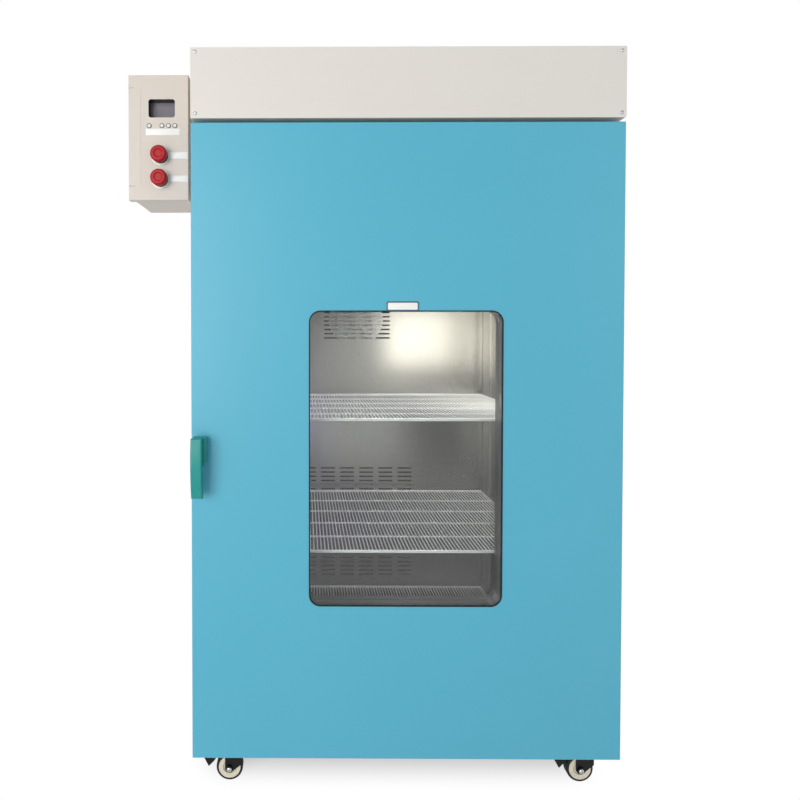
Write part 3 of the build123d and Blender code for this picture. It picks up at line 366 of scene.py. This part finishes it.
# Chamber light: three soft lamps inside give what the window shows. One glares on the right of the rear
# wall, one under the ceiling lights the whole chamber, and a weak one gives the lilac cast low on the left.
chamber_low, chamber_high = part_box("chamber_liner")
lamp_y = chamber_low[1] + 180 * MM
rear_wall = chamber_high[1]
glare_z = 1090 * MM
add_lamp(
    "chamber_lamp_bright",
    (cabinet_x + 240 * MM, lamp_y, glare_z),
    (cabinet_x + 250 * MM, rear_wall, glare_z),
    (0.27, 0.24),
    1.15,
    "FFFAF0",
)
add_lamp(
    "chamber_lamp_roof",
    (cabinet_x + 150 * MM, lamp_y, chamber_high[2] - 50 * MM),
    (cabinet_x + 100 * MM, 150 * MM, 200 * MM),
    (0.5, 0.3),
    4.5,
    "FFFDFA",
)
add_lamp(
    "chamber_lamp_lilac",
    (cabinet_x - 300 * MM, lamp_y - 100 * MM, 780 * MM),
    (cabinet_x - 100 * MM, rear_wall, 750 * MM),
    (0.1, 0.25),
    0.32,
    "A48CF0",
)

# Mineral wool: blankets of spun slag fibre, pressed between the sheets of the cabinet and the door. The
# fibres lie in soft yellow-grey tufts without any gloss.
wool, tree = new_material("mineral_wool_blanket")
tufts, tone = mottled(tree, 5.56, "BDB184", "D9CFA8", detail=6.0, distortion=1.5)
bump = add_node(tree, "ShaderNodeBump", {"Strength": 0.8, "Distance": 2 * MM}, {"Height": tufts})
close_material(tree, {"Roughness": 0.95}, {"Base Color": tone, "Normal": bump.outputs["Normal"]})
finish_nodes(wool, "cabinet_wool", "door_wool")

# Plated steel parts: heater tubes, fan wheel, hinge leaves, keeper, latch spindle and caster plates,
# pressed or turned from steel and plated with bright zinc. The plating clouds in patches, some clearer and
# some duller.
zinc, tree = new_material("bright_zinc_plate")
patches, tone = mottled(tree, 16.67, "C3C6C9", "A4A7AB", detail=4.0)
haze = add_node(tree, "ShaderNodeMapRange", {"To Min": 0.24, "To Max": 0.4}, {"Value": patches})
close_material(tree, {"Metallic": 1.0}, {"Base Color": tone, "Roughness": haze.outputs["Result"]})
finish_nodes(
    zinc, "heater_tubes", "fan_wheel", "hinge_frame_leaves", "hinge_door_leaves", "latch_keeper",
    "latch_spindle", "caster_plates",
)

# Blower motor: a cast iron shell, primed dark grey. The grit of the sand mould shows through the paint as
# small bumps that keep it dull.
motor_paint = even_coat("dark_grey_primer_on_casting", "3A3F45", "31353A", 0.55, 2.5, 0.15)
finish_nodes(motor_paint, "blower_motor")

# Black mouldings: cable gland, contactor, display housing and button collars, moulded in ABS and screwed or
# snapped in. The spark-eroded mould leaves a fine grain, which spreads the highlights softly.
black_abs, tree = new_material("black_moulded_abs")
grain, tone = mottled(tree, 0.8, "161617", "202021")
bump = add_node(tree, "ShaderNodeBump", {"Strength": 0.3, "Distance": 0.03 * MM}, {"Height": grain})
close_material(
    tree, {"Roughness": 0.42, "IOR": 1.53}, {"Base Color": tone, "Normal": bump.outputs["Normal"]}
)
finish_nodes(black_abs, "cable_gland", "contactor", "display_housing", "button_collars")

# Wire shelves: steel wire, spot welded and nickel plated. Fine wires run front to back on top, heavier rods
# hold them from below, and a rim wire closes each edge. The nickel is bright and a little milky, and it is
# less metallic here than the real one, so that wires thinner than a pixel stay light.
nickel, tree = new_material("bright_nickel_plated_wire")
milk, tone = mottled(tree, 25, "FAFAF8", "E6E6E4")
haze = add_node(tree, "ShaderNodeMapRange", {"To Min": 0.3, "To Max": 0.42}, {"Value": milk})
close_material(tree, {"Metallic": 0.4}, {"Base Color": tone, "Roughness": haze.outputs["Result"]})
fine_radius = 1.7 * MM
side_rim_radius = 2.0 * MM
end_rim_radius = 1.8 * MM
rod_radius = 2.5 * MM
wire_inset = 1 * MM
fine_pitch = 9.2 * MM
rod_spans = 5


def bar(start, end, radius, sides=8):
    """A round bar between two points on a line along X, Y or Z, with its place in its mesh."""
    bpy.ops.object.select_all(action="DESELECT")
    start, end = Vector(start), Vector(end)
    turn = (end - start).to_track_quat("Z", "Y").to_euler()
    bpy.ops.mesh.primitive_cylinder_add(
        vertices=sides, radius=radius, depth=(end - start).length, location=(start + end) / 2, rotation=turn
    )
    bpy.ops.object.transform_apply(location=True, rotation=True, scale=True)
    made = bpy.context.object
    bpy.ops.object.shade_smooth_by_angle(angle=radians(50))
    return made


def apply_all(piece):
    """Apply every modifier of a piece."""
    bpy.context.view_layer.objects.active = piece
    for modifier in list(piece.modifiers):
        bpy.ops.object.modifier_apply(modifier=modifier.name)


def repeat(piece, count, step):
    """Copies of a piece in a row, each a step further on."""
    row = piece.modifiers.new("row", "ARRAY")
    row.count = count
    row.use_relative_offset = False
    row.use_constant_offset = True
    row.constant_offset_displace = step
    apply_all(piece)


def join(name, pieces, material, body):
    """Join pieces into one, name it, give it its finish and let it ride on a body."""
    bpy.ops.object.select_all(action="DESELECT")
    for piece in pieces:
        piece.select_set(True)
    bpy.context.view_layer.objects.active = pieces[0]
    if len(pieces) > 1:
        bpy.ops.object.join()
    whole = bpy.context.object
    whole.name = name
    whole.data.name = name
    whole.data.materials.clear()
    whole.data.materials.append(material)
    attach(whole, body)
    return whole


for node, body in (("shelf_top", "shelf_high"), ("shelf_middle", "shelf_mid"), ("shelf_bottom", "shelf_low")):
    low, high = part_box(node)
    wire_z = high[2] - fine_radius
    rim_z = wire_z - fine_radius
    rod_z = low[2] + rod_radius
    left, right = low[0] + side_rim_radius, high[0] - side_rim_radius
    front, back = low[1] + rod_radius, high[1] - rod_radius
    fine_count = round((right - left) / fine_pitch)
    fine_step = (right - left) / fine_count
    first_x = left + fine_step
    wire_front, wire_back = low[1] + wire_inset, high[1] - wire_inset
    wires = bar((first_x, wire_front, wire_z), (first_x, wire_back, wire_z), fine_radius, 6)
    repeat(wires, fine_count - 1, (fine_step, 0, 0))
    rods = bar((low[0] + wire_inset, front, rod_z), (high[0] - wire_inset, front, rod_z), rod_radius)
    repeat(rods, rod_spans + 1, (0, (back - front) / rod_spans, 0))
    side_rims = [bar((x, low[1], rim_z), (x, high[1], rim_z), side_rim_radius) for x in (left, right)]
    end_rims = [bar((left, y, wire_z), (right, y, wire_z), end_rim_radius) for y in (front, back)]
    shelf = join("wire_" + node, [wires, rods] + side_rims + end_rims, nickel, body)
    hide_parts(node)

# Header panel: a folded steel pan above the door, held by a dome-head screw with a cross recess in each
# corner. It is powder coated in a lighter and cooler grey than the cabinet, with the same faint orange
# peel.
header_powder = even_coat("light_grey_powder_coat", "DDD9D4", "D6D2CC", 0.38, 4, 0.02)
finish_nodes(header_powder, "header_panel")
header_low, header_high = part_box("header_panel")
screw_inset_x = 11 * MM
screw_low = 11.5 * MM
screw_high = 10 * MM
screw_radius = 4.6 * MM
screw_rise = 2.4 * MM


def dome_screw(x, y, z, radius, rise):
    """The domed head of a screw that faces the front, with a cross recess a little off the upright."""
    recess_length = radius * 1.1
    recess_width = radius * 0.24
    bpy.ops.object.select_all(action="DESELECT")
    bpy.ops.mesh.primitive_uv_sphere_add(
        segments=24, ring_count=12, radius=radius, location=(x, y, z), rotation=(radians(90), 0, 0)
    )
    head = bpy.context.object
    head.scale = (1, 1, rise / radius)
    bpy.ops.object.transform_apply(location=True, rotation=True, scale=True)
    bpy.ops.object.mode_set(mode="EDIT")
    bpy.ops.mesh.select_all(action="SELECT")
    bpy.ops.mesh.bisect(plane_co=(x, y, z), plane_no=(0, 1, 0), clear_outer=True, use_fill=True)
    bpy.ops.object.mode_set(mode="OBJECT")
    for turn in (radians(20), radians(110)):
        bpy.ops.mesh.primitive_cube_add(size=1, location=(x, y - rise, z), rotation=(0, turn, 0))
        cutter = bpy.context.object
        cutter.scale = (recess_length, rise, recess_width)
        bpy.ops.object.transform_apply(location=True, rotation=True, scale=True)
        recess = head.modifiers.new("recess", "BOOLEAN")
        recess.operation = "DIFFERENCE"
        recess.object = cutter
        apply_all(head)
        bpy.data.objects.remove(cutter)
    bpy.ops.object.select_all(action="DESELECT")
    head.select_set(True)
    bpy.context.view_layer.objects.active = head
    bpy.ops.object.shade_smooth_by_angle(angle=radians(40))
    return head


heads = []
for x in (header_low[0] + screw_inset_x, header_high[0] - screw_inset_x):
    for z in (header_low[2] + screw_low, header_high[2] - screw_high):
        heads.append(dome_screw(x, header_low[1], z, screw_radius, screw_rise))
header_screws = join("header_screws", heads, zinc, "cabinet")

# Door: the outer skin is a deep pan of folded steel in turquoise stoving enamel. It is the largest surface
# of the oven, so the enamel drifts a little in tone and is smooth enough for a broad soft highlight.
turquoise = even_coat("turquoise_enamel", "54AEC8", "4EA9C3", 0.36, 4, 0.02)
finish_nodes(turquoise, "door_skin")

# Window panes: two sheets of toughened glass with air between them. The glass is clear from the front and
# mirrors the white surround faintly, and more of it at a flat angle.
pane, tree = new_material("toughened_clear_glass")
clear = add_node(tree, "ShaderNodeBsdfTransparent", {"Color": linear("FDFEFE")})
mirror = add_node(tree, "ShaderNodeBsdfGlossy", {"Color": linear("FFFFFF"), "Roughness": 0.02})
edge_on = add_node(tree, "ShaderNodeFresnel", {"IOR": 1.35})
glass = add_node(
    tree, "ShaderNodeMixShader", {}, {0: edge_on.outputs[0], 1: clear.outputs[0], 2: mirror.outputs[0]}
)
add_node(tree, "ShaderNodeOutputMaterial", {}, {"Surface": glass.outputs[0]})
finish_nodes(pane, "window_outer_glass", "window_inner_glass")

# Window seal: an extruded profile of black EPDM rubber, pressed over the edge of the cut-out. Its skin has
# a dull bloom in small patches and hardly mirrors.
rubber, tree = new_material("black_epdm_rubber")
bloom, tone = mottled(tree, 11.1, "141617", "1D2021")
haze = add_node(tree, "ShaderNodeMapRange", {"To Min": 0.55, "To Max": 0.75}, {"Value": bloom})
close_material(
    tree, {"IOR": 1.5, "Specular IOR Level": 0.25}, {"Base Color": tone, "Roughness": haze.outputs["Result"]}
)
finish_nodes(rubber, "window_seal")

# Door gasket: a moulded frame of grey silicone, pushed on round the inner panel. It is milky and dull, with
# a faint cloudiness from the mould.
silicone, tree = new_material("translucent_grey_silicone")
tone = mottled(tree, 14.3, "BDB9B2", "ACA8A1")[1]
close_material(tree, {"Roughness": 0.6, "IOR": 1.41}, {"Base Color": tone})
finish_nodes(silicone, "door_gasket")

# Name plate: a small bare plate on the window's top edge, glued to the door. Its base is stamped from slate
# blue anodised aluminium, which shows as a dull rim, and its face is a white film, smooth and half glossy.
window_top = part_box("window_seal")[1][2]
plate_x = (cabinet_x - 48 * MM, cabinet_x + 27 * MM)
plate_z = (window_top - 1.5 * MM, window_top + 21 * MM)
plate_rise = 1.0 * MM
plate_corner = 4 * MM
rim_width = 3.2 * MM
film_sunk = 0.1 * MM
film_rise = 0.5 * MM
film_corner = 2.4 * MM


def flat_plate(name, x, y, z, rise, material, body, corner):
    """A thin plate on a front face, with rounded corners and a softened front edge."""
    bpy.ops.object.select_all(action="DESELECT")
    bpy.ops.mesh.primitive_cube_add(size=1, location=((x[0] + x[1]) / 2, y - rise / 2, (z[0] + z[1]) / 2))
    plate = bpy.context.object
    plate.scale = (x[1] - x[0], rise, z[1] - z[0])
    bpy.ops.object.transform_apply(location=True, rotation=True, scale=True)
    bpy.ops.object.mode_set(mode="EDIT")
    bpy.ops.mesh.select_mode(type="EDGE")
    bpy.ops.mesh.select_all(action="DESELECT")
    bpy.ops.object.mode_set(mode="OBJECT")
    mesh = plate.data
    for edge in mesh.edges:
        start, end = (mesh.vertices[index].co for index in edge.vertices)
        edge.select = abs(start[1] - end[1]) > rise / 2
    bpy.ops.object.mode_set(mode="EDIT")
    bpy.ops.mesh.bevel(offset=corner, segments=6)
    bpy.ops.object.mode_set(mode="OBJECT")
    soften = plate.modifiers.new("edge", "BEVEL")
    soften.width = rise * 0.3
    soften.segments = 2
    soften.limit_method = "ANGLE"
    apply_all(plate)
    bpy.ops.object.shade_smooth_by_angle(angle=radians(35))
    return join(name, [plate], material, body)


slate_blue = even_coat("slate_blue_anodised_aluminium", "3E5E72", "365468", 0.4, 1.0, 0.01)
plate_rim = flat_plate(
    "name_plate_rim", plate_x, door_front, plate_z, plate_rise, slate_blue, "door", plate_corner
)
white_film = even_coat("white_polyester_film", "F2F2F0", "ECECEA", 0.35, 1.0, 0.005)
plate_face = flat_plate(
    "name_plate_face",
    (plate_x[0] + rim_width, plate_x[1] - rim_width),
    door_front - plate_rise + film_sunk,
    (plate_z[0] + rim_width, plate_z[1] - rim_width),
    film_rise,
    white_film,
    "door",
    film_corner,
)

# Label strips: three bare strips of the same white film, glued to the front of the control cover, one under
# the display and one beside each push button. Their places are counted from the cover's lower left corner.
cover_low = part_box("control_cover")[0]
cover_front = cover_low[1]
strip_rise = 0.4 * MM
strip_corner = 1.0 * MM
strips = (
    ("label_strip_top", (42, 124), (156.5, 172)),
    ("label_strip_middle", (99.5, 144), (100, 115.5)),
    ("label_strip_low", (99.5, 144), (44.5, 59)),
)
for name, across, up in strips:
    strip = flat_plate(
        name,
        [cover_low[0] + at * MM for at in across],
        cover_front,
        [cover_low[2] + at * MM for at in up],
        strip_rise,
        white_film,
        "cover",
        strip_corner,
    )

# Button rings: flat washers on the front of the control cover. A wide one of the white film lies under each
# push button. A narrow black rim round each of the four set buttons is painted shade for the dark edge round
# them.
push_ring_radius = 22.5 * MM
push_ring_hole = 17 * MM
push_ring_rise = 0.8 * MM
set_ring_past = 0.2 * MM
set_ring_under = 0.8 * MM
set_ring_rise = 1.2 * MM


def middle_of(node):
    """The middle of a CAD node, across and up."""
    low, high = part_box(node)
    return (low[0] + high[0]) / 2, (low[2] + high[2]) / 2


def ring(name, x, y, z, radius, hole, rise, material, body):
    """A flat washer on a front face, with softened rims."""
    bpy.ops.object.select_all(action="DESELECT")
    bpy.ops.mesh.primitive_cylinder_add(
        vertices=48, radius=radius, depth=rise, location=(x, y - rise / 2, z), rotation=(radians(90), 0, 0)
    )
    washer = bpy.context.object
    bpy.ops.object.transform_apply(location=True, rotation=True, scale=True)
    bpy.ops.object.mode_set(mode="EDIT")
    bpy.ops.mesh.select_mode(type="FACE")
    bpy.ops.mesh.select_all(action="DESELECT")
    bpy.ops.object.mode_set(mode="OBJECT")
    for face in washer.data.polygons:
        face.select = abs(face.normal[1]) > 0.9
    bpy.ops.object.mode_set(mode="EDIT")
    bpy.ops.mesh.inset(thickness=radius - hole)
    bpy.ops.mesh.bridge_edge_loops()
    bpy.ops.mesh.select_all(action="SELECT")
    bpy.ops.mesh.normals_make_consistent(inside=False)
    bpy.ops.object.mode_set(mode="OBJECT")
    soften = washer.modifiers.new("edge", "BEVEL")
    soften.width = rise * 0.35
    soften.segments = 2
    soften.limit_method = "ANGLE"
    apply_all(washer)
    bpy.ops.object.shade_smooth_by_angle(angle=radians(40))
    return join(name, [washer], material, body)


for level in ("lower", "upper"):
    x, z = middle_of("push_button_" + level)
    white_ring = ring(
        "push_ring_" + level,
        x,
        cover_front,
        z,
        push_ring_radius,
        push_ring_hole,
        push_ring_rise,
        white_film,
        "cover",
    )
for number in ("1", "2", "3", "4"):
    low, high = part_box("set_button_" + number)
    x, z = middle_of("set_button_" + number)
    button_radius = (high[0] - low[0]) / 2
    # A dark rim round the set button: painted shade for its edge.
    painted_shade_ring = ring(
        "set_shade_ring_" + number,
        x,
        cover_front,
        z,
        button_radius + set_ring_past,
        button_radius - set_ring_under,
        set_ring_rise,
        black_abs,
        "cover",
    )

# Push buttons: two mushroom heads moulded in red ABS, on stems that slide in the collars. The red is deep,
# and the satin surface keeps its highlight small.
red_abs, tree = new_material("red_moulded_abs")
tone = mottled(tree, 8.33, "B00A17", "9C0712")[1]
close_material(tree, {"Roughness": 0.35, "IOR": 1.53, "Specular IOR Level": 0.25}, {"Base Color": tone})
finish_nodes(red_abs, "push_button_lower", "push_button_upper")

# Set buttons: four small caps moulded in off-white ABS under the display. They come from a polished mould
# and look smoother than the cover round them.
pale_abs, tree = new_material("pale_moulded_abs")
tone = mottled(tree, 6.67, "E9E9E6", "DADAD7")[1]
close_material(tree, {"Roughness": 0.28, "IOR": 1.5}, {"Base Color": tone})
finish_nodes(pale_abs, "set_button_1", "set_button_2", "set_button_3", "set_button_4")

# Display pane: a cut sheet of smoked acrylic, deep in its black housing. It is polished like glass, and
# with the display off it is an uneven violet grey.
smoked, tree = new_material("smoked_acrylic_over_display")
tone = mottled(tree, 40, "6E6A74", "8B8790", detail=1.0)[1]
close_material(tree, {"Roughness": 0.08, "IOR": 1.49}, {"Base Color": tone})
finish_nodes(smoked, "display_pane")

# Handle: the base block is screwed to the door and the lever turns in it. Both are moulded in green
# polyamide, which has a soft gloss, broken up by a fine grain, and drifts a little in tone where it flowed
# in the mould.
green_pa, tree = new_material("green_moulded_polyamide")
tone = mottled(tree, 71.4, "128A86", "1C928D", detail=2.0)[1]
place = add_node(tree, "ShaderNodeTexCoord")
grain = add_node(
    tree, "ShaderNodeTexNoise", {"Scale": 1 / (1.0 * MM), "Detail": 3.0}, {"Vector": place.outputs["Object"]}
)
bump = add_node(
    tree, "ShaderNodeBump", {"Strength": 0.25, "Distance": 0.03 * MM}, {"Height": grain.outputs["Fac"]}
)
close_material(
    tree,
    {"Roughness": 0.3, "IOR": 1.53, "Specular IOR Level": 0.35},
    {"Base Color": tone, "Normal": bump.outputs["Normal"]},
)
finish_nodes(green_pa, "handle_base", "handle_lever")

# Casters: forks and brake pedals pressed from steel in the frame's black enamel, and tyres of the window
# seal's black rubber. The front wheels have hubs moulded in cream polypropylene, waxy and dull.
cream_pp = even_coat("cream_polypropylene", "E6DFCC", "DCD4BF", 0.45, 1.5, 0.01)
finish_nodes(cream_pp, "caster_hub_front_left", "caster_hub_front_right")
finish_nodes(rubber, "caster_tyre_front_left", "caster_tyre_front_right")
finish_nodes(rubber, "caster_wheel_rear_left", "caster_wheel_rear_right")
finish_nodes(black_enamel, "brake_pedal_front_left", "brake_pedal_front_right")
corners = ("front_left", "front_right", "rear_left", "rear_right")
for corner in corners:
    finish_nodes(black_enamel, "caster_fork_" + corner)

# Axle bolts: a domed bolt head, plated with bright zinc, on the front cheek of each caster's fork. It sits
# on the wheel's axle and swivels with the fork.
bolt_radius = 6.2 * MM
bolt_rise = 3.6 * MM
for corner in corners:
    fork_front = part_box("caster_fork_" + corner)[0][1]
    wheel = "caster_hub_" if corner.startswith("front") else "caster_wheel_"
    x, z = middle_of(wheel + corner)
    dome = dome_screw(x, fork_front, z, bolt_radius, bolt_rise)
    bolt = join("axle_bolt_" + corner, [dome], zinc, "swivel_" + corner)
